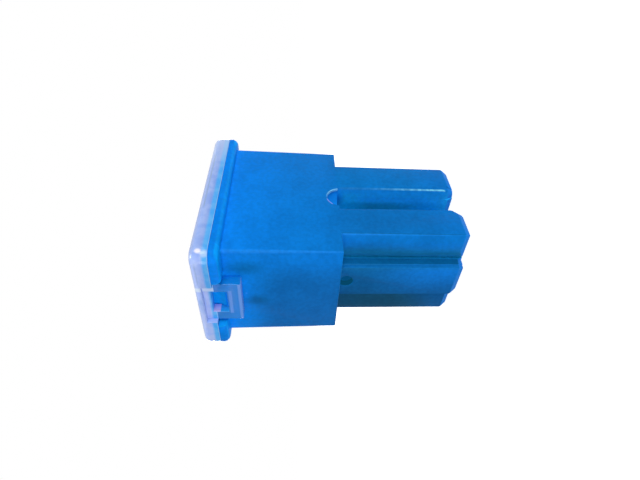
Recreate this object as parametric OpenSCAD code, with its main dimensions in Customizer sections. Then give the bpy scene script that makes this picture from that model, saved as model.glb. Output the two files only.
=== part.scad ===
// Plug-in cartridge fuse with two female sockets.
// It stands upright, sockets down and clear cover up, with its origin at the centre of the leg ends.
// X runs across the two legs, towards a latch side. Y runs towards a plain side.

/* [Housing box] */
// Width of the box at its lower end, along X
body_w = 17.8; // [17:0.1:22]
// Depth of the box at its lower end and of the legs, along Y
body_d = 12.64; // [12.1:0.02:15.2]
// Height of the box, from the legs to the flange
body_h = 12.35; // [9:0.05:18]
// How far each side leans out over the height of the box
body_draft = 0.2; // [0:0.01:0.4]
// Thickness of the box walls
body_wall = 1.1; // [0.8:0.05:1.4]
// Thickness of the box floor
floor_t = 1.4; // [1.2:0.1:2.5]
// Thickness of the partition between the plates
partition_t = 1.4; // [0.8:0.1:3]
// Height of the partition above the box floor
partition_h = 6; // [3:0.1:7]

/* [Flange and rim] */
// How far the flange stands out from the box on the latch sides
flange_out_w = 1.8; // [1.5:0.01:2.2]
// How far the flange stands out from the box on the plain sides
flange_out_d = 1; // [0.5:0.01:1.5]
// Thickness of the flange
flange_t = 0.95; // [0.85:0.05:2]
// Radius along the flange's lower edge
flange_edge_r = 0.65; // [0.1:0.05:0.75]
// Corner radius of the flange and the cover
flange_r = 1.5; // [1:0.1:2]
// Height of the rim that stands up inside the cover
rim_h = 0.7; // [0.4:0.05:0.9]

/* [Legs] */
// Length of the legs, from the box down
leg_len = 14.1; // [13.4:0.1:20]
// Thickness of the leg wall on the latch sides
leg_outer_wall = 1.38; // [1.3:0.02:1.8]
// How far the outer faces of each leg lean in towards its end
leg_draft = 0.1; // [0:0.01:0.2]
// Thickness of the leg wall next to the slot
leg_inner_wall = 0.8; // [0.7:0.05:1]
// Chamfer at the leg ends, measured along the leg
leg_chamfer_l = 0.7; // [0.3:0.05:0.9]
// Chamfer at the leg ends, measured into the leg
leg_chamfer_in = 0.45; // [0.2:0.05:0.5]

/* [Slot between the legs] */
// Width of the slot between the legs
slot_w = 2.6; // [2:0.1:3.2]
// Depth of the slot from each plain side
slot_depth = 3.2; // [2:0.1:4]
// Radius that rounds each leg into the slot
slot_round = 1.2; // [0.8:0.1:1.3]
// Height of the taper on those rounded corners, at the leg ends
taper_h = 1.25; // [0.5:0.05:1.5]
// How much the taper takes off their radius
taper_in = 0.6; // [0.2:0.05:0.7]
// How far the web between the legs stops short of their ends
web_recess = 1; // [0.5:0.1:4]
// Radius of the scoop that ends the slot in the box
scoop_r = 1.5; // [0.8:0.1:1.8]
// How far the scoop reaches up into the box wall
scoop_rise = 1.3; // [0.5:0.05:1.35]

/* [Side pads and grooves] */
// Height of the pad on the outer face of each leg
pad_h = 1.1; // [1:0.05:1.4]
// Wall left on each side of the spring pocket in the pad
pad_side_wall = 0.75; // [0.6:0.05:1]
// Wall left between the spring pocket and the pad's face
pad_wall = 0.9; // [0.7:0.05:1.1]
// Width of the step along each edge of the pad
step_w = 0.15; // [0.1:0.05:0.3]
// How far the step lies below the pad's face
step_drop = 0.4; // [0.2:0.05:0.6]
// Depth of the groove at the foot of the pad, below the leg's outer face
groove_depth = 0.6; // [0.2:0.05:0.65]
// Width over which the leg's face rounds down into the groove
groove_w = 2.3; // [1:0.1:2.6]
// Diameter of the vent hole in the pad
vent_d = 1.6; // [0.8:0.1:1.7]
// Drop of the vent hole's centre below the box
vent_drop = 0.85; // [0.85:0.05:2]

/* [Sockets] */
// Width of the plug-in tab that a socket takes
tab_w = 8; // [6.6:0.1:8]
// Thickness of the plug-in tab that a socket takes
tab_t = 1.2; // [0.8:0.1:1.2]
// Clearance between the tab and the folded sheet, across the tab's thickness
tab_play = 0.1; // [0.05:0.01:0.2]
// Clearance between the tab and the folded sheet, at each edge of the tab
tab_edge_play = 0.45; // [0.2:0.05:0.5]
// Clearance around the tab in the mouth of the socket
mouth_clear = 0.35; // [0.2:0.05:0.4]
// Chamfer that leads the tab into the mouth
mouth_chamfer = 0.4; // [0.2:0.05:0.5]
// Thickness of the lip around the mouth, which the fuse element stands on
lip_t = 1; // [0.6:0.1:2]

/* [Fuse element] */
// Thickness of the sheet metal
sheet_t = 0.6; // [0.4:0.05:0.6]
// Gap between the sheet metal and the plastic around it
sheet_gap = 0.1; // [0.05:0.01:0.15]
// Height of the folded receptacle
receptacle_h = 11; // [9:0.1:12]
// Width of each rolled edge of the receptacle
roll_w = 2.9; // [2:0.1:3]
// Height of the bar that carries the spring tongue
tongue_bar_h = 1.6; // [1:0.1:2.5]
// Width of the spring tongue
tongue_w = 2.4; // [1.8:0.1:2.6]
// Gap on each side of the tongue in its pocket
tongue_gap = 0.3; // [0.2:0.05:0.5]
// Thickness of the spring tongue
tongue_t = 0.4; // [0.3:0.05:0.5]
// How far the tongue bows out into its pocket
tongue_bow = 1; // [0.5:0.05:1]
// Width of the plates that rise from the receptacles
plate_w = 6.4; // [4:0.1:7.6]
// Height of the narrow neck at the top of each plate
neck_h = 3.6; // [2.5:0.1:4.5]
// Width of the fusible bridge and its necks
bridge_w = 2.2; // [1.6:0.1:3.2]
// Outer radius of the bends at the ends of the bridge
bridge_bend = 1.4; // [1:0.1:1.8]
// Gap between the bridge and the underside of the cover
bridge_headroom = 0.9; // [0.8:0.05:1.5]

/* [Tin slug] */
// Diameter of the slug's heads
slug_d = 2; // [1.6:0.1:2.6]
// Thickness of the slug's upper head
slug_top_h = 0.5; // [0.3:0.05:0.6]
// Thickness of the slug's lower head
slug_under_h = 0.35; // [0.2:0.05:0.5]
// Diameter of the slug's shank
slug_shank_d = 1; // [0.6:0.1:1.2]
// Gap around the shank in the bridge
slug_gap = 0.05; // [0.02:0.01:0.1]

/* [Cover] */
// Height of the cover above the flange
cover_h = 1.95; // [1.75:0.05:2.6]
// Thickness of the cover's top
cover_top_t = 0.8; // [0.6:0.05:0.9]
// Thickness of the cover's skirt
skirt_t = 0.95; // [0.7:0.05:1]
// Gap between the skirt and the rim inside it
skirt_gap = 0.1; // [0.05:0.01:0.15]
// Radius along the cover's top edge
cover_edge_r = 0.9; // [0.2:0.05:0.95]
// Width of a latch loop
loop_w = 5.8; // [5.2:0.1:7]
// Thickness of a latch loop
loop_t = 1.1; // [0.8:0.05:1.2]
// How far a latch loop hangs below the skirt
loop_drop = 2.8; // [2.6:0.05:3.6]
// Height of the crossbar at the end of a latch loop
crossbar_h = 1.5; // [1:0.05:1.65]
// Width of the window in a latch loop
window_w = 3.3; // [2.6:0.1:4]
// How far the window reaches up into the skirt
window_rise = 0.4; // [0.1:0.05:0.8]
// Gap between a latch loop and the box
loop_gap = 0.1; // [0.05:0.01:0.15]
// Gap on each side of a latch loop in the notch it passes through
notch_gap = 0.6; // [0.1:0.05:0.8]
// How far the wedge stands out from the box
wedge_out = 0.5; // [0.4:0.05:1.2]
// Height of the wedge's flat outer edge
wedge_edge = 0.3; // [0.1:0.05:0.5]
// Gap between the wedge and the edges of the window
wedge_gap = 0.1; // [0.05:0.01:0.2]

/* [Hidden] */
arc = 48;
past = 0.5;

// Heights
box_bottom = leg_len;
box_top = box_bottom + body_h;
floor_top = box_bottom + floor_t;
flange_top = box_top + flange_t;
cover_top = flange_top + cover_h;

// Outlines of the box, flange, rim and skirt
body_top_w = body_w + 2 * body_draft;
body_top_d = body_d + 2 * body_draft;
flange_w = body_top_w + 2 * flange_out_w;
flange_d = body_top_d + 2 * flange_out_d;
cavity_w = body_w - 2 * body_wall;
cavity_d = body_d - 2 * body_wall;
skirt_in_w = flange_w - 2 * skirt_t;
skirt_in_d = flange_d - 2 * skirt_t;
skirt_in_r = max(flange_r - skirt_t, 0.2);

// Latch
loop_in = body_top_w / 2 + loop_gap;
loop_out = loop_in + loop_t;
loop_bottom = flange_top - loop_drop;
window_bottom = loop_bottom + crossbar_h;
window_top = flange_top + window_rise;

// Chambers, from the slot outwards
chamber_in = slot_w / 2 + leg_inner_wall;
base_in = chamber_in + sheet_gap;
tab_in = base_in + sheet_t;
roll_in = tab_in + tab_t + tab_play;
roll_out = roll_in + sheet_t;
chamber_out = roll_out + sheet_gap;
leg_out = chamber_out + leg_outer_wall;
receptacle_half = tab_w / 2 + tab_edge_play + sheet_t;
chamber_half = receptacle_half + sheet_gap;
leg_half = body_d / 2;
receptacle_top = lip_t + receptacle_h;

// Pads
pad_face = leg_out + pad_h;
pocket_out = pad_face - pad_wall;
pocket_half = tongue_w / 2 + tongue_gap;
pad_half = pocket_half + pad_side_wall;
step_half = pad_half + step_w;
groove_floor = leg_out - groove_depth;
groove_r = (groove_w * groove_w + groove_depth * groove_depth) / (2 * groove_depth);

// Bridge and slug
bridge_top = cover_top - cover_top_t - bridge_headroom;
plate_top = bridge_top - neck_h;
bridge_end = base_in + sheet_t;

// A rectangle with rounded corners.
module round_rect(w, d, r) {
    square([w - 2 * r, d], center = true);
    square([w, d - 2 * r], center = true);
    for (x = [-1, 1], y = [-1, 1])
        translate([x * (w / 2 - r), y * (d / 2 - r)])
            circle(r, $fn = arc);
}

// A box between two opposite corners.
module span_box(low, high) {
    translate(low)
        cube(high - low);
}

// An outline in X and Z, made as deep as given along Y.
module along_y(depth) {
    rotate([90, 0, 0])
        linear_extrude(depth, center = true)
            children();
}

// An outline in Y and Z, made as wide as given along X.
module along_x(width) {
    rotate([90, 0, 90])
        linear_extrude(width, center = true)
            children();
}

// A plate with the flange's outline, whose upper edge is rounded all the way round.
module rolled_plate(h, edge_r) {
    along_y(flange_d - 2 * flange_r)
        rolled_outline(flange_w / 2, h, edge_r);
    along_x(flange_w - 2 * flange_r)
        rolled_outline(flange_d / 2, h, edge_r);
    for (x = [-1, 1], y = [-1, 1])
        translate([x * (flange_w / 2 - flange_r), y * (flange_d / 2 - flange_r), 0])
            rotate_extrude($fn = arc)
                rolled_half(flange_r, h, edge_r);
}

module rolled_outline(half, h, edge_r) {
    for (flip = [0, 1])
        mirror([flip, 0])
            rolled_half(half, h, edge_r);
}

module rolled_half(half, h, edge_r) {
    inner = half - edge_r;
    square([half, h - edge_r]);
    square([inner, h]);
    intersection() {
        translate([inner, h - edge_r])
            circle(edge_r, $fn = arc);
        translate([inner, 0])
            square([edge_r, h]);
    }
}

// The same thing on both latch sides.
module both_sides() {
    for (turn = [0, 180])
        rotate([0, 0, turn])
            children();
}

// The same thing on both sides of the middle plane, along Y.
module mirrored_y() {
    for (flip = [0, 1])
        mirror([0, flip, 0])
            children();
}

// An upright block that stands on z = 0 and whose four sides lean out.
module leaning_block(w, d, h, lean) {
    intersection() {
        along_y(d + 2 * lean + past)
            leaning_face(w, h, lean);
        along_x(w + 2 * lean + past)
            leaning_face(d, h, lean);
    }
}

module leaning_face(w, h, lean) {
    polygon([[-w / 2, 0], [w / 2, 0], [w / 2 + lean, h], [-w / 2 - lean, h]]);
}

// ---------------------------------------------------------------- housing

module housing() {
    color("dodgerblue")
        difference() {
            union() {
                box_shell();
                flange_plate();
                rim();
                both_sides() {
                    leg_block();
                    pad_block();
                    wedge();
                }
                web();
            }
            box_cavity();
            both_sides() {
                flange_notch();
                chamber();
                spring_pocket();
                mouth();
                vent();
                mirrored_y()
                    pad_groove();
                scoop();
            }
        }
}

module box_shell() {
    translate([0, 0, box_bottom])
        leaning_block(body_w, body_d, body_h, body_draft);
}

module flange_plate() {
    translate([0, 0, flange_top])
        mirror([0, 0, 1])
            rolled_plate(flange_t, flange_edge_r);
}

module rim() {
    translate([0, 0, flange_top - past])
        linear_extrude(rim_h + past)
            round_rect(skirt_in_w - 2 * skirt_gap, skirt_in_d - 2 * skirt_gap, skirt_in_r);
}

// The hollow of the box, which leaves the partition standing on the floor.
module box_cavity() {
    difference() {
        span_box([-cavity_w / 2, -cavity_d / 2, floor_top], [cavity_w / 2, cavity_d / 2, cover_top]);
        span_box([-partition_t / 2, -body_d, 0], [partition_t / 2, body_d, floor_top + partition_h]);
    }
}

// One leg, with its two inner corners rounded and its lower end chamfered.
module leg_block() {
    intersection() {
        rounded_leg(box_bottom + floor_t / 2);
        along_y(2 * leg_half + past)
            tapered_face(slot_w / 2, leg_out, 0, leg_draft);
        along_x(2 * leg_out + past)
            tapered_face(-leg_half, leg_half, leg_draft, leg_draft);
    }
}

module rounded_leg(height) {
    inner = slot_w / 2;
    centre = inner + slot_round;
    span_box([inner, -leg_half + slot_round, 0], [centre, leg_half - slot_round, height]);
    span_box([centre, -leg_half, 0], [leg_out, leg_half, height]);
    for (y = [-1, 1])
        translate([centre, y * (leg_half - slot_round), 0]) {
            cylinder(h = taper_h, r1 = slot_round - taper_in, r2 = slot_round, $fn = arc);
            translate([0, 0, taper_h])
                cylinder(h = height - taper_h, r = slot_round, $fn = arc);
        }
}

// A tall face between two edges, which lean in to the chamfers at its lower end.
module tapered_face(low, high, low_lean, high_lean) {
    low_end = low + low_lean;
    high_end = high - high_lean;
    polygon([
        [low_end + leg_chamfer_in, 0], [high_end - leg_chamfer_in, 0], [high_end, leg_chamfer_l],
        [high, box_bottom], [high, box_top], [low, box_top], [low, box_bottom], [low_end, leg_chamfer_l]
    ]);
}

// The raised pad on the leg's outer face, with its step along each edge.
module pad_block() {
    stepped_pad(pad_face, pad_half);
    stepped_pad(pad_face - step_drop, step_half);
}

module stepped_pad(face, half) {
    root = leg_out - groove_depth - past;
    intersection() {
        span_box([root, -half, 0], [face, half, box_bottom + floor_t / 2]);
        along_y(2 * half + past)
            tapered_face(0, face, 0, leg_draft);
        along_x(2 * face + past)
            tapered_face(-half, half, 0, 0);
    }
}

// The groove at the foot of the pad, where the leg's face rounds down to it.
module pad_groove() {
    translate([0, 0, -past])
        linear_extrude(box_bottom + past)
            difference() {
                translate([groove_floor, step_half])
                    square([groove_depth + past, groove_w]);
                translate([leg_out - groove_r, step_half + groove_w])
                    circle(groove_r, $fn = 4 * arc);
            }
}

// The web that joins the two legs across the slot.
module web() {
    half = leg_half - slot_depth;
    join = slot_w / 2 + leg_inner_wall / 2;
    span_box([-join, -half, web_recess], [join, half, box_bottom + floor_t / 2]);
}

// The round-ended scoop that ends the slot in the box wall.
module scoop() {
    top = box_bottom + scoop_rise - scoop_r;
    translate([0, -body_d / 2, top]) {
        sphere(scoop_r, $fn = arc);
        translate([0, 0, -scoop_r])
            cylinder(h = scoop_r, r = scoop_r, $fn = arc);
    }
}

// The hollow that holds one receptacle, open to the box above.
module chamber() {
    span_box([chamber_in, -chamber_half, lip_t], [chamber_out, chamber_half, floor_top + past]);
}

module spring_pocket() {
    span_box([chamber_out - past, -pocket_half, lip_t], [pocket_out, pocket_half, box_bottom]);
}

// The opening in the leg end that the tab enters, with its lead-in.
module mouth() {
    low = tab_in - mouth_clear;
    high = tab_in + tab_t + mouth_clear;
    half = tab_w / 2 + mouth_clear;
    span_box([low, -half, -past], [high, half, lip_t + past]);
    translate([(low + high) / 2, 0, mouth_chamfer])
        mirror([0, 0, 1])
            leaning_block(high - low, 2 * half, mouth_chamfer, mouth_chamfer);
}

// The vent from the spring pocket to the pad's face, just under the box.
module vent() {
    translate([pocket_out - past, 0, box_bottom - vent_drop])
        rotate([0, 90, 0])
            cylinder(h = pad_wall + 2 * past, d = vent_d, $fn = arc);
}

// The notch that lets a latch loop pass the rim and the flange.
module flange_notch() {
    half = loop_w / 2 + notch_gap;
    difference() {
        span_box([body_top_w / 2, -half, box_top - past], [flange_w, half, flange_top + rim_h + past]);
        wedge();
    }
}

// The catch that a latch loop snaps over: flat below, sloped above.
module wedge() {
    root = body_w / 2 - body_wall / 2;
    tip = body_top_w / 2 + wedge_out;
    low = window_bottom + wedge_gap;
    along_y(window_w - 2 * wedge_gap)
        polygon([
            [root, low], [tip, low], [tip, low + wedge_edge],
            [body_top_w / 2, flange_top], [root, flange_top]
        ]);
}

// ---------------------------------------------------------------- cover

module cover() {
    color("lavender", 0.5)
        difference() {
            union() {
                difference() {
                    cover_block();
                    cover_cavity();
                    both_sides()
                        loop_recess();
                }
                both_sides()
                    latch_loop();
            }
            both_sides()
                latch_window();
        }
}

module cover_block() {
    translate([0, 0, flange_top])
        rolled_plate(cover_h, cover_edge_r);
}

module cover_cavity() {
    translate([0, 0, flange_top - past])
        linear_extrude(cover_h - cover_top_t + past)
            round_rect(skirt_in_w, skirt_in_d, skirt_in_r);
}

// The recess that sets each loop back from the skirt's outer face.
module loop_recess() {
    span_box([loop_out, -loop_w / 2, 0], [flange_w, loop_w / 2, cover_top - cover_top_t]);
}

module latch_loop() {
    span_box([loop_in, -loop_w / 2, loop_bottom], [loop_out, loop_w / 2, cover_top - cover_top_t / 2]);
}

module latch_window() {
    span_box([loop_in - past, -window_w / 2, window_bottom], [flange_w, window_w / 2, window_top]);
}

// ---------------------------------------------------------------- fuse element

module fuse_element() {
    color("silver")
        difference() {
            both_sides() {
                receptacle();
                tongue();
                plate();
                bridge_half();
            }
            cylinder(h = cover_top, d = slug_shank_d + 2 * slug_gap, $fn = arc);
        }
}

// The folded receptacle: a base, two side walls and two rolled edges around the tab.
module receptacle() {
    translate([0, 0, lip_t])
        linear_extrude(receptacle_h) {
            translate([base_in, -receptacle_half])
                square([sheet_t, 2 * receptacle_half]);
            for (flip = [0, 1])
                mirror([0, flip]) {
                    translate([base_in, receptacle_half - sheet_t])
                        square([roll_out - base_in, sheet_t]);
                    translate([roll_in, receptacle_half - roll_w])
                        square([sheet_t, roll_w]);
                }
        }
    bar_bottom = receptacle_top - tongue_bar_h;
    span_box([roll_in, -receptacle_half, bar_bottom], [roll_out, receptacle_half, receptacle_top]);
}

// The spring tongue, which hangs from its bar, bows out and returns to press on the tab.
module tongue() {
    top = receptacle_top - tongue_bar_h / 2;
    bottom = lip_t + sheet_t;
    steps = 16;
    outer = [for (i = [0 : steps]) tongue_point(i / steps, top, bottom, tongue_t)];
    inner = [for (i = [steps : -1 : 0]) tongue_point(i / steps, top, bottom, 0)];
    along_y(tongue_w)
        polygon(concat(outer, inner));
}

function tongue_point(s, top, bottom, t) =
    [roll_in + t + tongue_bow * pow(sin(180 * s), 2), top + (bottom - top) * s];

// The plate that rises from the receptacle to the bridge, with a neck at its top.
module plate() {
    outer = base_in + sheet_t;
    span_box([base_in, -plate_w / 2, receptacle_top - past], [outer, plate_w / 2, plate_top]);
    span_box([base_in, -bridge_w / 2, plate_top - past], [outer, bridge_w / 2, bridge_top - bridge_bend]);
}

// Half of the fusible bridge, with the bend that joins it to its neck.
module bridge_half() {
    centre = [bridge_end - bridge_bend, bridge_top - bridge_bend];
    along_y(bridge_w) {
        intersection() {
            translate(centre)
                difference() {
                    circle(bridge_bend, $fn = arc);
                    circle(bridge_bend - sheet_t, $fn = arc);
                }
            translate(centre)
                square(bridge_bend);
        }
        translate([0, bridge_top - sheet_t])
            square([centre[0], sheet_t]);
    }
}

// ---------------------------------------------------------------- tin slug

// The slug, clinched through the bridge with a head on each side.
module tin_slug() {
    color("gainsboro")
        rotate_extrude($fn = arc) {
            translate([0, bridge_top])
                square([slug_d / 2, slug_top_h]);
            translate([0, bridge_top - sheet_t])
                square([slug_shank_d / 2, sheet_t]);
            translate([0, bridge_top - sheet_t - slug_under_h])
                square([slug_d / 2, slug_under_h]);
        }
}

housing();
cover();
fuse_element();
tin_slug();
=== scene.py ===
import math

import bpy
from mathutils import Matrix, Vector


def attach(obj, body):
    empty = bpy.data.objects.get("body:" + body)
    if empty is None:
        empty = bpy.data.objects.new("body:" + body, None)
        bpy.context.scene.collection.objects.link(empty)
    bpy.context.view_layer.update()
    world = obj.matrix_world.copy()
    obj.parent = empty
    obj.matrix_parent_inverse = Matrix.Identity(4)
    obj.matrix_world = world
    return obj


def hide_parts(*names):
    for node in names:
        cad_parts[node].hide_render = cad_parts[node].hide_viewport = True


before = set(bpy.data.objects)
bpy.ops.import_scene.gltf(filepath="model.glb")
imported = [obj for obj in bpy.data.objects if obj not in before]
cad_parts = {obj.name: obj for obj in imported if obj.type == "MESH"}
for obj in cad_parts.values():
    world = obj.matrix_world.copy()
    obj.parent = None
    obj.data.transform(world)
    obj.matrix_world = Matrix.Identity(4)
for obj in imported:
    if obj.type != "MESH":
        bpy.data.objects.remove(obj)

MM = 0.001
scene = bpy.context.scene
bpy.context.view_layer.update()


# ---------------------------------------------------------------- where things are

# Heights above the leg ends, in millimetres.
leg_length = 14.1
vent_height = leg_length - 0.85
box_top = leg_length + 12.35
flange_top = box_top + 0.95
cover_top = flange_top + 1.95
loop_bottom = flange_top - 2.8
window_bottom = loop_bottom + 1.5

# Distances from the middle of the fuse, in millimetres.
box_half_w = 8.9
box_half_d = 6.32
flange_half_w = 10.9
flange_half_d = 7.52
slot_half = 1.3
leg_out = 6.18
pad_face = leg_out + 1.1
pad_half = 2.4
loop_half = 2.9
window_half = 1.65
scoop_radius = 1.5


# ---------------------------------------------------------------- making and finishing meshes

# A distance in millimetres, and angles in degrees.
merge_distance = 0.002
flat_within = 0.5
round_above = 25
smooth_below = 30


def only(piece):
    """Selects this piece and nothing else."""
    bpy.ops.object.select_all(action="DESELECT")
    piece.select_set(True)
    bpy.context.view_layer.objects.active = piece


def copied_from(node, name):
    """A piece with a clean copy of a node's mesh: doubles merged and flat faces made whole."""
    piece = bpy.data.objects.new(name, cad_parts[node].data.copy())
    scene.collection.objects.link(piece)
    piece.data.materials.clear()
    only(piece)
    if piece.data.has_custom_normals:
        bpy.ops.mesh.customdata_custom_splitnormals_clear()
    bpy.ops.object.mode_set(mode="EDIT")
    bpy.ops.mesh.select_all(action="SELECT")
    bpy.ops.mesh.remove_doubles(threshold=merge_distance * MM)
    bpy.ops.mesh.dissolve_limited(angle_limit=math.radians(flat_within))
    bpy.ops.mesh.select_all(action="DESELECT")
    bpy.ops.object.mode_set(mode="OBJECT")
    return piece


def round_edges(piece, largest, size_at):
    """Rounds each sharp outward edge. size_at(middle, along) gives its radius in millimetres."""
    mesh = piece.data
    faces_of = {}
    for face in mesh.polygons:
        for key in face.edge_keys:
            faces_of.setdefault(key, []).append((face.normal.copy(), face.center.copy()))
    weights = mesh.attributes.new("bevel_weight_edge", "FLOAT", "EDGE")
    for edge in mesh.edges:
        sides = faces_of.get(edge.key, [])
        if len(sides) != 2:
            continue
        (first, first_middle), (second, second_middle) = sides
        outward = (second_middle - first_middle).dot(first) < 0
        if not outward or first.angle(second, 0) < math.radians(round_above):
            continue
        a, b = (mesh.vertices[v].co / MM for v in edge.vertices)
        radius = size_at((a + b) / 2, b - a)
        weights.data[edge.index].value = min(1, radius / largest)
    only(piece)
    bevel = piece.modifiers.new("rounding", "BEVEL")
    bevel.limit_method = "WEIGHT"
    bevel.width = largest * MM
    bevel.segments = 2
    bevel.use_clamp_overlap = False
    bpy.ops.object.modifier_apply(modifier=bevel.name)


def smooth(piece):
    only(piece)
    bpy.ops.object.shade_smooth_by_angle(angle=math.radians(smooth_below))


def finish_piece(piece, node, material):
    piece.data.materials.append(material)
    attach(piece, "root")
    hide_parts(node)


# ---------------------------------------------------------------- materials

# A radius so wide that a spot runs right through the fuse.
everywhere = 1000


def grey(level):
    return (level, level, level)


def new_material(name):
    material = bpy.data.materials.new(name)
    material.use_nodes = True
    nodes, links = material.node_tree.nodes, material.node_tree.links
    return material, nodes, links, nodes["Principled BSDF"]


def grain_group():
    """Soft clouds and a fine grain, which every material of the fuse uses at its own scale."""
    group = bpy.data.node_groups.new("surface_grain", "ShaderNodeTree")
    group.interface.new_socket(name="Place", in_out="INPUT", socket_type="NodeSocketVector")
    entry = group.nodes.new("NodeGroupInput")
    result = group.nodes.new("NodeGroupOutput")
    for name, detail in (("Clouds", 2), ("Grain", 4)):
        group.interface.new_socket(name=name + " Scale", in_out="INPUT", socket_type="NodeSocketFloat")
        group.interface.new_socket(name=name, in_out="OUTPUT", socket_type="NodeSocketFloat")
        noise = group.nodes.new("ShaderNodeTexNoise")
        noise.inputs["Detail"].default_value = detail
        group.links.new(entry.outputs["Place"], noise.inputs["Vector"])
        group.links.new(entry.outputs[name + " Scale"], noise.inputs["Scale"])
        group.links.new(noise.outputs["Fac"], result.inputs[name])
    return group


surface_grain = grain_group()


class Fields:
    """Small helper that draws masks over a piece from its own coordinates, in millimetres."""

    def __init__(self, nodes, links, place=None):
        self.nodes, self.links = nodes, links
        if place is None:
            source = nodes.new("ShaderNodeTexCoord")
            place = self.vector_math("MULTIPLY", source.outputs["Object"], (1 / MM,) * 3)["Vector"]
            self.facing_x, self.facing_y, self.facing_z = self.split(source.outputs["Normal"])
        self.place = place
        self.x, self.y, self.z = self.split(place)

    def feed(self, socket, value):
        """Gives a socket a number or a colour, or links it to what another node puts out."""
        if isinstance(value, tuple):
            socket.default_value = (*value, 1)
        elif isinstance(value, (int, float)):
            socket.default_value = value
        else:
            self.links.new(value, socket)

    def split(self, vector):
        node = self.nodes.new("ShaderNodeSeparateXYZ")
        self.links.new(vector, node.inputs[0])
        return node.outputs

    def vector_math(self, operation, vector, by=(0, 0, 0)):
        node = self.nodes.new("ShaderNodeVectorMath")
        node.operation = operation
        self.links.new(vector, node.inputs[0])
        node.inputs[1].default_value = by
        return node.outputs

    def math(self, operation, *values):
        node = self.nodes.new("ShaderNodeMath")
        node.operation = operation
        for socket, value in zip(node.inputs, values):
            self.feed(socket, value)
        return node.outputs[0]

    def size(self, value):
        return self.math("ABSOLUTE", value)

    def both(self, *masks):
        result = masks[0]
        for mask in masks[1:]:
            result = self.math("MULTIPLY", result, mask)
        return result

    def either(self, *masks):
        result = masks[0]
        for mask in masks[1:]:
            result = self.math("MAXIMUM", result, mask)
        return result

    def ramp(self, value, start, end, most=1.0, least=0.0):
        """Rises smoothly from least at start to most at end."""
        node = self.nodes.new("ShaderNodeMapRange")
        node.interpolation_type = "SMOOTHSTEP"
        self.links.new(value, node.inputs["Value"])
        node.inputs["From Min"].default_value = start
        node.inputs["From Max"].default_value = end
        node.inputs["To Min"].default_value = least
        node.inputs["To Max"].default_value = most
        return node.outputs["Result"]

    def band(self, value, low, high, soft, most=1.0):
        """Is most between low and high, and fades out on both sides."""
        rising = self.ramp(value, low - soft, low + soft, most)
        return self.both(rising, self.ramp(value, high + soft, high - soft))

    def away(self, centre, radii):
        """How far from a centre, counted in radii."""
        shifted = self.vector_math("SUBTRACT", self.place, centre)["Vector"]
        scaled = self.vector_math("DIVIDE", shifted, radii)["Vector"]
        return self.vector_math("LENGTH", scaled)["Value"]

    def on_latch_sides(self):
        return self.ramp(self.size(self.facing_x), 0.4, 0.85)

    def on_cross_walls(self):
        """The small walls that face a plain side, beside the pads and the latches."""
        return self.ramp(self.size(self.facing_y), 0.7, 0.9)

    def blob(self, centre, radii, soft, most=1.0):
        """An oval spot that fades out at its edge."""
        return self.ramp(self.away(centre, radii), 1, soft, most)

    def grain(self, clouds_per_mm, grains_per_mm, stretch=(1, 1, 1)):
        """Soft clouds and fine grain, each from 0 to 1."""
        node = self.nodes.new("ShaderNodeGroup")
        node.node_tree = surface_grain
        stretched = self.vector_math("MULTIPLY", self.place, stretch)["Vector"]
        self.links.new(stretched, node.inputs["Place"])
        node.inputs["Clouds Scale"].default_value = clouds_per_mm
        node.inputs["Grain Scale"].default_value = grains_per_mm
        return node.outputs["Clouds"], node.outputs["Grain"]

    def bump(self, height, strength, depth):
        """Small relief. The depth is in millimetres."""
        node = self.nodes.new("ShaderNodeBump")
        node.inputs["Strength"].default_value = strength
        node.inputs["Distance"].default_value = depth * MM
        self.links.new(height, node.inputs["Height"])
        return node.outputs["Normal"]

    def mix(self, blend, under, over, mask):
        node = self.nodes.new("ShaderNodeMix")
        node.data_type = "RGBA"
        node.blend_type = blend
        self.feed(node.inputs["Factor"], mask)
        self.feed(node.inputs["A"], under)
        self.feed(node.inputs["B"], over)
        return node.outputs["Result"]

    def paint(self, under, over, mask):
        """One colour laid over another where the mask is 1."""
        return self.mix("MIX", under, over, mask)

    def shade(self, colour, amount):
        """A colour made lighter or darker by an amount around 1."""
        return self.mix("MULTIPLY", colour, amount, 1)

    def behind_vent(self):
        """The part of a leg's chamber that can be seen through its vent."""
        node = self.nodes.new("ShaderNodeGroup")
        node.node_tree = vent_chamber
        self.links.new(self.place, node.inputs["Place"])
        return node.outputs["Mask"]


def vent_chamber_group():
    """A mask of the small part of each leg's chamber that its vent opens onto."""
    group = bpy.data.node_groups.new("vent_chamber", "ShaderNodeTree")
    group.interface.new_socket(name="Place", in_out="INPUT", socket_type="NodeSocketVector")
    group.interface.new_socket(name="Mask", in_out="OUTPUT", socket_type="NodeSocketFloat")
    entry = group.nodes.new("NodeGroupInput")
    result = group.nodes.new("NodeGroupOutput")
    f = Fields(group.nodes, group.links, entry.outputs["Place"])
    inside = f.band(f.size(f.x), slot_half + 0.3, leg_out + 0.22, 0.1)
    in_middle = f.ramp(f.size(f.y), 1.95, 1.85)
    at_height = f.band(f.z, vent_height - 1.2, vent_height + 1.2, 0.4)
    group.links.new(f.both(inside, in_middle, at_height), result.inputs["Mask"])
    return group


vent_chamber = vent_chamber_group()


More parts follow.
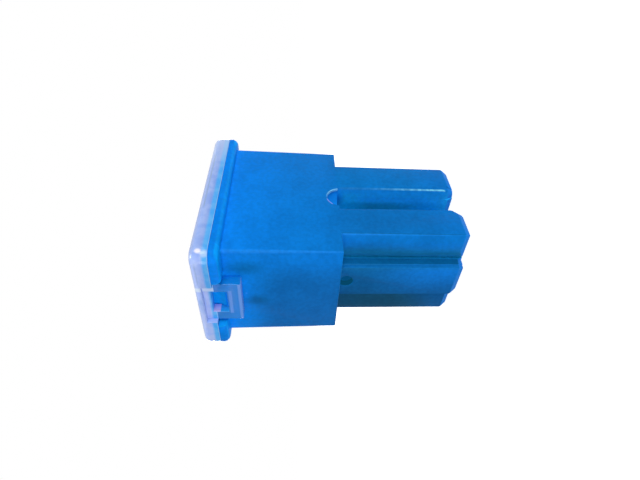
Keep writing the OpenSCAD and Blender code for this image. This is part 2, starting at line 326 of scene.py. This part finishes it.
def blue_nylon():
    """Smooth moulded nylon, with light and shade painted into its colour: bright at the flange and in the
    slot, deeper on the legs and in the grooves.
    """
    material, nodes, links, shader = new_material("blue_nylon")
    f = Fields(nodes, links)
    clouds, grain = f.grain(0.35, 2.2)
    along_x, along_y = f.size(f.x), f.size(f.y)
    on_latch_sides, on_cross_walls = f.on_latch_sides(), f.on_cross_walls()
    on_legs = f.ramp(f.z, leg_length + 0.2, leg_length - 0.2)

    # The plain sides, with painted light and shade: brightest at the flange, deeper towards the legs, lighter
    # on the right leg and at the leg ends.
    shoulder = leg_length + 2.9
    colour = f.paint((0.0025, 0.198, 0.67), (0.0026, 0.232, 0.86), f.ramp(f.z, shoulder, flange_top))
    colour = f.paint(colour, (0.0025, 0.165, 0.53), f.ramp(f.z, shoulder, leg_length - 2.1))
    right_leg_face = f.both(on_legs, f.ramp(f.x, 1, 2), f.ramp(along_y, box_half_d - 0.22, box_half_d - 0.12))
    colour = f.paint(colour, (0.0025, 0.188, 0.59), right_leg_face)
    colour = f.paint(colour, (0.0026, 0.185, 0.62), f.ramp(f.z, 6, 1))

    # The flange's underside, painted lighter against the shade under it, and lighter still over the latch
    # sides.
    underside = f.both(f.ramp(f.z, box_top - 0.45, box_top - 0.15), f.ramp(f.facing_z, -0.3, -0.6))
    over_latch_side = f.both(underside, f.ramp(along_x, box_half_w, box_half_w + 0.1))
    colour = f.paint(colour, (0.003, 0.285, 0.88), underside)
    colour = f.paint(colour, (0.003, 0.35, 1.0), over_latch_side)

    # The latch sides of the box, with painted light and shade: brighter towards the flange and towards one
    # corner.
    box_side = f.paint((0.004, 0.152, 0.51), (0.0032, 0.275, 0.95), f.ramp(f.z, box_top - 5.95, box_top))
    box_side = f.paint(box_side, (0.003, 0.213, 0.76), f.ramp(f.y, -1.5, -6))

    # The latch sides of the legs, with painted light and shade: brighter at their ends and towards one
    # corner. The left leg also grows deeper towards its other corner, though less so at its end; that is
    # painted shade.
    on_left_leg = f.ramp(f.x, 1, -1)
    above_end = f.both(on_left_leg, f.ramp(f.z, 1, 7.5))
    leg_side = f.paint((0.0045, 0.13, 0.37), (0.0055, 0.215, 0.77), f.ramp(f.z, 13, 2))
    leg_side = f.paint(leg_side, (0.005, 0.095, 0.27), f.both(on_left_leg, f.ramp(f.y, -2, 3, 0.8)))
    leg_side = f.paint(leg_side, (0.003, 0.205, 0.69), f.ramp(f.y, -3.4, -5.6))
    leg_side = f.paint(leg_side, (0.009, 0.10, 0.215), f.both(above_end, f.ramp(f.y, 2.3, 2.6)))
    leg_side = f.paint(leg_side, (0.007, 0.08, 0.175), f.both(above_end, f.ramp(f.y, 3.5, 6)))
    colour = f.paint(colour, f.paint(box_side, leg_side, on_legs), on_latch_sides)

    # The flange above them, painted lighter towards one plain side as painted light; the notches in it for
    # the latch loops, in a lighter blue; and the chamber inside the box, painted lighter as painted light
    # where little light reaches.
    past_box = f.ramp(along_x, box_half_w + 0.2, box_half_w + 0.4)
    flange = f.both(on_latch_sides, f.ramp(f.z, box_top - 0.4, box_top), past_box)
    colour = f.paint(colour, f.paint((0.0035, 0.25, 0.96), (0.0035, 0.22, 0.8), f.ramp(f.y, 2, 6)), flange)
    notch_width = f.ramp(along_y, loop_half + 0.8, loop_half + 0.65)
    notch_depth = f.ramp(along_x, box_half_w - 0.1, box_half_w + 0.05)
    notch = f.both(f.ramp(f.z, box_top - 0.05, box_top + 0.05), notch_width, notch_depth)
    colour = f.paint(colour, (0.0035, 0.34, 0.92), notch)
    chamber_width = f.ramp(along_x, box_half_w - 0.9, box_half_w - 1)
    chamber_depth = f.ramp(along_y, box_half_d - 0.82, box_half_d - 0.92)
    chamber = f.both(f.ramp(f.z, leg_length, leg_length + 0.3), chamber_width, chamber_depth)
    colour = f.paint(colour, (0.006, 0.32, 0.95), chamber)

    # Painted shade in the grooves beside the pads on one half and on the pads' own side walls, and a pale
    # line of painted light along their feet.
    outer_part = f.ramp(along_x, leg_out - 1.18, leg_out - 0.78)
    grooves = f.both(on_legs, f.band(along_y, pad_half, pad_half + 1.5, 0.9), outer_part, f.ramp(f.y, 1, -1))
    colour = f.paint(colour, (0.009, 0.19, 0.43), grooves)
    pad_wall = f.both(on_legs, f.band(along_x, leg_out - 0.2, leg_out + 0.6, 0.05), on_cross_walls)
    colour = f.paint(colour, (0.0026, 0.13, 0.34), pad_wall)
    beside_pad = f.band(along_y, pad_half - 0.05, pad_half + 0.2, 0.08)
    pad_foot = f.both(grooves, f.ramp(along_x, leg_out - 0.18, leg_out - 0.43), beside_pad)
    colour = f.paint(colour, (0.006, 0.34, 0.56), pad_foot)

    # The slot between the legs, with painted shade and light: it grows deeper inwards and is brightest beside
    # the box.
    def slot_tone(middle, end, beside_box):
        return f.paint(f.paint(middle, end, f.ramp(f.z, 8, 1)), beside_box, f.ramp(f.z, 10, 13.3))

    below_box = f.ramp(f.z, leg_length + 0.2, leg_length - 1.2)
    slot = f.both(below_box, f.ramp(along_x, slot_half + 1.4, slot_half + 1))
    slot_mouth = slot_tone((0.012, 0.41, 1.0), (0.012, 0.42, 1.0), (0.013, 0.52, 1.0))
    slot_deep = slot_tone((0.005, 0.26, 0.52), (0.006, 0.35, 0.84), (0.003, 0.37, 0.76))
    colour = f.paint(colour, slot_mouth, f.both(slot, f.ramp(along_y, box_half_d - 0.22, box_half_d - 1.42)))
    colour = f.paint(colour, slot_deep, f.both(slot, f.ramp(along_y, box_half_d - 1.32, box_half_d - 2.32)))

    # A painted highlight runs down the slot corner of one leg and grows towards its end.
    near_face = f.ramp(along_y, box_half_d - 0.42, box_half_d - 0.32)
    corner = f.both(slot, f.band(f.facing_x, -0.6, -0.4, 0.05), near_face)
    patchy = f.ramp(grain, 0.35, 0.6, 1, 0.55)
    painted_highlight_line = f.both(corner, patchy, f.ramp(f.z, 11, 1, 0.9, 0.05), f.ramp(f.z, 1, 1.3))
    colour = f.paint(colour, (0.24, 0.78, 1.0), painted_highlight_line)

    # The chamfers round the leg ends, painted lighter as painted light from below.
    chamfers = f.both(f.ramp(f.z, 0.8, 0.6), f.ramp(f.facing_z, -0.2, -0.4), f.ramp(f.facing_z, -0.95, -0.9))
    colour = f.paint(colour, (0.012, 0.23, 0.78), chamfers)

    # The scoop, painted lighter against its shade, and two arcs of painted highlight on its rim.
    from_scoop = f.away((0, 0, leg_length - 0.2), (scoop_radius, everywhere, scoop_radius))
    above_slot = f.ramp(f.z, leg_length - 0.1, leg_length + 0.1)
    outer_part = f.ramp(along_y, box_half_d - 1.72, box_half_d - 1.32)
    scoop = f.both(f.ramp(from_scoop, 1.02, 0.9), outer_part, above_slot)
    at_face = f.ramp(along_y, box_half_d - 0.32, box_half_d - 0.12)
    rim = f.both(f.band(from_scoop, 0.97, 1.07, 0.03), at_face, above_slot)
    white_arc = f.both(rim, f.ramp(f.x, -0.4, 1.1, 0.85))
    lilac_arc = f.both(rim, f.ramp(f.x, -0.2, -0.5), f.ramp(f.z, leg_length + 0.6, leg_length + 0.85, 0.85))
    colour = f.paint(colour, (0.004, 0.26, 0.85), scoop)
    colour = f.paint(colour, (0.25, 0.68, 1.0), white_arc)
    colour = f.paint(colour, (0.26, 0.36, 1.0), lilac_arc)

    # Upright outer edges are painted a little paler, a patchy painted highlight along their rounding.
    box_edges = f.both(
        f.ramp(along_x, box_half_w - 0.22, box_half_w - 0.04),
        f.ramp(along_y, box_half_d - 0.22, box_half_d - 0.04),
        f.ramp(f.z, leg_length - 0.1, leg_length + 0.2),
        f.ramp(f.z, box_top + 0.05, box_top - 0.25),
    )
    leg_edges = f.both(
        on_legs,
        f.ramp(along_x, leg_out - 0.2, leg_out - 0.08),
        f.ramp(along_y, box_half_d - 0.27, box_half_d - 0.12),
        f.ramp(along_x, leg_out + 0.22, leg_out + 0.12),
    )
    edge_highlight = f.both(f.either(box_edges, leg_edges), f.ramp(clouds, 0.3, 0.6, 0.8, 0.4))
    colour = f.paint(colour, (0.012, 0.26, 0.88), edge_highlight)

    # Two darker oval patches and a small pale spot between them, all on one latch side.
    left_side = -box_half_w - 0.1
    long_dark_patch = f.blob((left_side, -4, box_top - 1.95), (0.8, 1.5, 3.2), 0.1, 0.8)
    short_dark_patch = f.blob((left_side, 1.2, box_top - 3.45), (0.8, 1.35, 1.9), 0.1, 0.8)
    pale_speck = f.blob((left_side, 0, box_top - 2.2), (0.5, 0.2, 0.17), 0.3, 0.7)
    colour = f.paint(colour, (0.0022, 0.14, 0.42), long_dark_patch)
    colour = f.paint(colour, (0.0022, 0.115, 0.34), short_dark_patch)
    colour = f.paint(colour, (0.03, 0.3, 0.95), pale_speck)

    # The vent's own wall is painted very dark, as painted shade.
    from_vent = f.away((0, 0, vent_height), (everywhere, 0.86, 0.86))
    vent_wall = f.both(on_legs, f.ramp(from_vent, 1, 0.93), f.ramp(along_x, leg_out - 0.98, leg_out - 0.78))
    colour = f.paint(colour, (0.0005, 0.006, 0.03), vent_wall)

    # Faint clouds and a fine grain.
    colour = f.shade(colour, f.ramp(clouds, 0.35, 0.7, 0.93, 1.03))
    colour = f.shade(colour, f.ramp(grain, 0.3, 0.7, 1.07, 0.93))
    links.new(colour, shader.inputs["Base Color"])

    # The vent and the chamber behind it are given a dim blue glow, as painted light.
    round_vent = f.ramp(f.away((0, 0, vent_height), (everywhere, 1.65, 1.3)), 1, 0.95)
    under_pad_face = f.ramp(along_x, pad_face - 0.02, pad_face - 0.1)
    past_slot = f.ramp(along_x, slot_half + 0.2, slot_half + 0.5)
    painted_glow = f.either(f.both(round_vent, under_pad_face, past_slot), f.behind_vent())
    links.new(f.paint(grey(0), (0.0015, 0.06, 0.125), painted_glow), shader.inputs["Emission Color"])
    shader.inputs["Emission Strength"].default_value = 1

    links.new(f.ramp(grain, 0.3, 0.7, 0.42, 0.32), shader.inputs["Roughness"])
    links.new(f.bump(grain, 0.12, 0.02), shader.inputs["Normal"])
    shader.inputs["Specular IOR Level"].default_value = 0.02
    return material


def clear_plastic():
    """Clear plastic with a lilac cast: hazy where it is seen edge on, clear over the chamber."""
    material, nodes, links, shader = new_material("clear_plastic")
    f = Fields(nodes, links)
    clouds, grain = f.grain(0.8, 3)
    wisps = f.ramp(clouds, 0.35, 0.65)
    along_x, along_y = f.size(f.x), f.size(f.y)
    on_latch_sides, on_cross_walls = f.on_latch_sides(), f.on_cross_walls()
    loops = f.ramp(f.z, flange_top + 0.05, flange_top - 0.05)

    # The housing's blue shows through the skirt. Above it the plate is lilac, paler on the latch sides.
    skirt = f.paint((0.13, 0.5, 1.0), (0.07, 0.43, 1.0), wisps)
    plate = f.paint((0.33, 0.48, 0.92), (0.24, 0.39, 0.87), wisps)
    plate = f.paint(plate, f.paint((0.46, 0.59, 1.0), (0.35, 0.50, 1.0), wisps), on_latch_sides)
    colour = f.paint(skirt, plate, f.ramp(f.z, flange_top + 0.4, flange_top + 0.75))
    outer_edge = f.paint((0.29, 0.40, 0.74), (0.38, 0.52, 1.0), on_latch_sides)
    colour = f.paint(colour, outer_edge, f.ramp(f.z, cover_top - 0.65, cover_top - 0.25))

    # A faint line where the rolled edge begins.
    plain_part = f.ramp(along_y, flange_half_d - 0.42, flange_half_d - 0.22)
    latch_part = f.ramp(along_x, flange_half_w - 0.3, flange_half_w - 0.2)
    plain_part = f.both(plain_part, f.band(f.x, -3.5, 6.5, 0.5))
    latch_part = f.both(latch_part, f.band(f.y, -6.3, -3.3, 0.4, 0.5))
    line = f.both(f.band(f.z, cover_top - 0.71, cover_top - 0.53, 0.06), f.either(plain_part, latch_part))
    colour = f.paint(colour, (0.24, 0.36, 0.64), line)

    # The middle of the plate is nearly clear.
    clear_middle = f.both(
        f.ramp(f.size(f.facing_z), 0.8, 0.95),
        f.ramp(f.z, cover_top - 0.95, cover_top - 0.85),
        f.ramp(along_x, flange_half_w - 0.9, flange_half_w - 1.3),
        f.ramp(along_y, flange_half_d - 0.82, flange_half_d - 1.22),
    )
    haze = f.paint(grey(0.93), grey(0.1), clear_middle)

    # Painted highlights: paler at one end, along the seam, in a line beside the latch and round the near
    # corner.
    pale_end = f.ramp(f.x, 3, 9, 0.48)
    seam = f.both(f.ramp(f.z, flange_top + 0.1, flange_top + 0.06, 0.35), f.ramp(f.facing_z, -0.9, -0.6))
    # The line beside the latch keeps to a slant, so that it runs on where the wall is stepped.
    slant = f.math("MULTIPLY_ADD", f.x, -0.96, f.y)
    beside_latch = f.both(f.band(slant, 7.53, 8.1, 0.12, 0.9), f.ramp(f.size(f.facing_x), 0.4, 0.6))
    beside_latch = f.both(beside_latch, f.ramp(f.z, flange_top - 0.5, flange_top - 0.1))
    near_corner = f.blob((-10.3, -7.4, flange_top + 0.35), (0.6, 0.5, 0.5), 0.5, 0.6)
    colour = f.paint(colour, (0.62, 0.76, 1.0), f.either(pale_end, seam, beside_latch, near_corner))

    # A bluer spot over each latch, a painted glint on the near corner, the walls of the recesses over the
    # latches, painted lighter against their shade, and a deeper patch above each of them.
    over_latch = f.away((0, 0.1, cover_top - 0.6), (everywhere, 1.6, 0.55))
    colour = f.paint(colour, (0.12, 0.32, 0.8), f.both(f.ramp(over_latch, 1, 0.3, 0.8), on_latch_sides))
    glint = f.blob((-9.98, -7.52, cover_top - 0.98), (0.34, 0.5, 0.46), 0.4, 0.9)
    colour = f.paint(colour, (0.95, 0.92, 1.0), glint)
    in_recess = f.ramp(along_y, loop_half + 0.7, loop_half + 0.5)
    recess_wall = f.both(f.ramp(f.z, flange_top, flange_top + 0.1), on_cross_walls, in_recess)
    colour = f.paint(colour, (0.40, 0.57, 1.0), recess_wall)
    above_skirt = f.ramp(f.z, flange_top + 0.6, flange_top + 0.8)
    deeper_patch = f.both(on_latch_sides, f.band(f.y, -0.5, 3.6, 0.8, 0.6), above_skirt)
    colour = f.paint(colour, (0.36, 0.48, 0.92), deeper_patch)

    # The latch loops are clearer, with hazy borders. Their outer flanks show the blue behind them.
    colour = f.paint(colour, (0.07, 0.42, 1.0), loops)
    haze = f.paint(haze, grey(0.42), loops)
    sill = f.both(f.band(f.z, window_bottom - 0.5, window_bottom - 0.15, 0.08), f.ramp(along_y, 2, 1.7))
    borders = f.both(loops, f.either(f.ramp(f.z, loop_bottom + 0.4, loop_bottom + 0.25), sill))
    colour = f.paint(colour, (0.22, 0.46, 1.0), borders)
    haze = f.paint(haze, grey(0.6), borders)
    outer_edges = f.ramp(along_y, loop_half - 0.3, loop_half - 0.15)
    flanks = f.both(loops, f.ramp(f.size(f.facing_y), 0.5, 0.8), outer_edges)
    colour = f.paint(colour, (0.002, 0.25, 0.72), flanks)
    haze = f.paint(haze, grey(0.9), flanks)

    # The cut walls beside their windows are lilac at the top and blue below.
    beside_window = f.band(along_y, window_half - 0.15, window_half + 0.15, 0.1)
    cut_walls = f.both(f.ramp(f.z, flange_top + 0.6, flange_top + 0.5), on_cross_walls, beside_window)
    cut_tone = f.paint((0.02, 0.38, 0.9), (0.6, 0.56, 1.0), f.ramp(f.z, flange_top - 0.4, flange_top - 0.3))
    colour = f.paint(colour, cut_tone, cut_walls)
    haze = f.paint(haze, grey(0.85), cut_walls)

    links.new(colour, shader.inputs["Base Color"])
    links.new(haze, shader.inputs["Alpha"])
    links.new(f.ramp(clouds, 0.3, 0.7, 0.22, 0.08), shader.inputs["Roughness"])
    links.new(f.bump(grain, 0.1, 0.01), shader.inputs["Normal"])
    shader.inputs["Specular IOR Level"].default_value = 0.2
    shader.inputs["IOR"].default_value = 1.5
    return material


def tinned_metal():
    """Tin-plated sheet: pale and satin, with faint rolling lines, duller patches and warm worn spots."""
    material, nodes, links, shader = new_material("tinned_metal")
    f = Fields(nodes, links)
    patches, specks = f.grain(0.6, 4)
    _, lines = f.grain(1, 9, (1, 1, 0.06))
    colour = f.paint((0.74, 0.73, 0.70), (0.60, 0.59, 0.56), f.ramp(patches, 0.4, 0.7))
    colour = f.paint(colour, (0.70, 0.60, 0.45), f.ramp(specks, 0.62, 0.75, 0.5))
    links.new(colour, shader.inputs["Base Color"])
    shader.inputs["Metallic"].default_value = 1
    links.new(f.ramp(lines, 0.3, 0.7, 0.42, 0.26), shader.inputs["Roughness"])
    links.new(f.bump(lines, 0.2, 0.01), shader.inputs["Normal"])

    # The part behind the vent is given a dim blue glow, as painted light from the plastic around it.
    links.new(f.paint(grey(0), (0.0015, 0.05, 0.11), f.behind_vent()), shader.inputs["Emission Color"])
    shader.inputs["Emission Strength"].default_value = 1
    return material


def dull_tin():
    """Cast tin: grey, with a dull, slightly pitted skin."""
    material, nodes, links, shader = new_material("dull_tin")
    f = Fields(nodes, links)
    patches, pits = f.grain(1.5, 6)
    colour = f.paint((0.62, 0.62, 0.60), grey(0.44), f.ramp(patches, 0.4, 0.65))
    links.new(colour, shader.inputs["Base Color"])
    shader.inputs["Metallic"].default_value = 1
    links.new(f.ramp(patches, 0.35, 0.7, 0.55, 0.4), shader.inputs["Roughness"])
    links.new(f.bump(pits, 0.35, 0.02), shader.inputs["Normal"])
    return material


# ---------------------------------------------------------------- the four pieces

def housing_rounding(middle, along):
    """Small on the flange, rim and catches, larger on the legs, largest on the box's upright edges."""
    from_middle = abs(middle.x)
    upright = abs(along.z) > 0.9 * along.length
    on_latch = middle.z > box_top - 1.3 and from_middle > box_half_w + 0.1
    if on_latch or middle.z > box_top - 0.01:
        return 0.06
    if middle.z > leg_length + 0.5:
        return 0.2 if upright and from_middle > box_half_w - 0.5 else 0.08
    if middle.z > leg_length - 0.01:
        return 0.12 if from_middle > pad_face else 0.04
    if from_middle < slot_half - 0.1:
        return 0.08
    return 0.12 if middle.z < 1 else 0.15


housing = copied_from("housing", "housing_moulding")
round_edges(housing, 0.2, housing_rounding)
smooth(housing)
finish_piece(housing, "housing", blue_nylon())

cover = copied_from("cover", "clear_cover")
round_edges(cover, 0.06, lambda middle, along: 0.06)
smooth(cover)
finish_piece(cover, "cover", clear_plastic())

element = copied_from("fuse_element", "folded_element")
smooth(element)
finish_piece(element, "fuse_element", tinned_metal())

slug = copied_from("tin_slug", "clinched_slug")
smooth(slug)
finish_piece(slug, "tin_slug", dull_tin())


# ---------------------------------------------------------------- camera, light and floor

camera_data = bpy.data.cameras.new("camera")
camera_data.sensor_width = 36
camera_data.lens = 25.28
camera_data.clip_start = 0.001
camera = bpy.data.objects.new("camera", camera_data)
scene.collection.objects.link(camera)
scene.camera = camera

# The camera is turned on its side, so that the fuse lies across the view.
camera_place = Vector((-40.53, -38.35, leg_length + 5.155)) * MM
right = Vector((-0.03543, -0.04953, -0.99814)).normalized()
back = Vector((-0.72012, -0.69126, 0.05986)).normalized()
up = back.cross(right).normalized()
turn = Matrix((right, up, back)).transposed().to_4x4()
camera.matrix_world = Matrix.Translation(camera_place) @ turn


def soft_lamp(name, around, raised, distance, size, watts):
    """A round soft lamp that faces the fuse. It stands so many degrees around from -Y towards -X."""
    data = bpy.data.lights.new(name, "AREA")
    data.shape = "DISK"
    data.size = size
    data.energy = watts
    lamp = bpy.data.objects.new(name, data)
    scene.collection.objects.link(lamp)
    around, raised = math.radians(around), math.radians(raised)
    level = math.cos(raised)
    toward = Vector((-math.sin(around) * level, -math.cos(around) * level, math.sin(raised)))
    lamp.location = Vector((0, 0, lamps_aim_at * MM)) + toward * distance
    lamp.rotation_euler = toward.to_track_quat("Z", "Y").to_euler()


lamps_aim_at = 15

# Each lamp's degrees around and up, its distance and width in metres, and its watts.
lamps = (
    ("key", 15, 4, 0.3, 0.12, 0.42),
    ("fill", -20, 10, 0.35, 0.15, 0.15),
    ("side", 90, 3, 0.2, 0.08, 0.13),
    ("top", 0, 90, 0.35, 0.12, 0.79),
    ("back", -160, 8, 0.3, 0.12, 0.4),
    ("far_side", -108, 6, 0.25, 0.1, 0.17),
)
for lamp in lamps:
    soft_lamp(*lamp)

sky_strength = 0.12
table_strength = 0.59
table_glow = 0.94
floor_radius = 1.5
floor_drop = 0.01


def white_backdrop():
    """A dim white sky. The camera, and rays that gloss or clear plastic send on, see it at full white."""
    world = bpy.data.worlds.new("world")
    world.use_nodes = True
    nodes, links = world.node_tree.nodes, world.node_tree.links
    sky, white = nodes["Background"], nodes.new("ShaderNodeBackground")
    for node, strength in ((sky, sky_strength), (white, 1)):
        node.inputs["Color"].default_value = (*grey(1), 1)
        node.inputs["Strength"].default_value = strength
    path = nodes.new("ShaderNodeLightPath")
    seen = path.outputs["Is Camera Ray"]
    for ray in ("Is Glossy Ray", "Is Transmission Ray"):
        node = nodes.new("ShaderNodeMath")
        node.operation = "MAXIMUM"
        links.new(seen, node.inputs[0])
        links.new(path.outputs[ray], node.inputs[1])
        seen = node.outputs[0]
    choose = nodes.new("ShaderNodeMixShader")
    links.new(seen, choose.inputs[0])
    links.new(sky.outputs[0], choose.inputs[1])
    links.new(white.outputs[0], choose.inputs[2])
    links.new(choose.outputs[0], nodes["World Output"].inputs[0])
    return world


scene.world = white_backdrop()


def floor_paint():
    """A plain pale light table. Seen directly it is brighter, so that it meets the white backdrop."""
    material, nodes, links, shader = new_material("floor_paint")
    shader.inputs["Base Color"].default_value = (*grey(0.1), 1)
    shader.inputs["Roughness"].default_value = 1
    shader.inputs["Specular IOR Level"].default_value = 0
    shader.inputs["Emission Color"].default_value = (*grey(1), 1)
    shader.inputs["Emission Strength"].default_value = table_strength
    seen = nodes.new("ShaderNodeBsdfDiffuse")
    seen.inputs["Color"].default_value = (*grey(0.5), 1)
    glow = nodes.new("ShaderNodeEmission")
    glow.inputs["Strength"].default_value = table_glow
    both = nodes.new("ShaderNodeAddShader")
    links.new(seen.outputs[0], both.inputs[0])
    links.new(glow.outputs[0], both.inputs[1])
    path = nodes.new("ShaderNodeLightPath")
    choose = nodes.new("ShaderNodeMixShader")
    links.new(path.outputs["Is Camera Ray"], choose.inputs[0])
    links.new(shader.outputs[0], choose.inputs[1])
    links.new(both.outputs[0], choose.inputs[2])
    links.new(choose.outputs[0], nodes["Material Output"].inputs[0])
    return material


bpy.ops.object.select_all(action="DESELECT")
floor_place = (0, 0, -floor_drop * MM)
bpy.ops.mesh.primitive_circle_add(vertices=64, radius=floor_radius, fill_type="NGON", location=floor_place)
floor = bpy.context.object
floor.name = "floor"
floor.data.materials.append(floor_paint())

scene.view_settings.view_transform = "Standard"
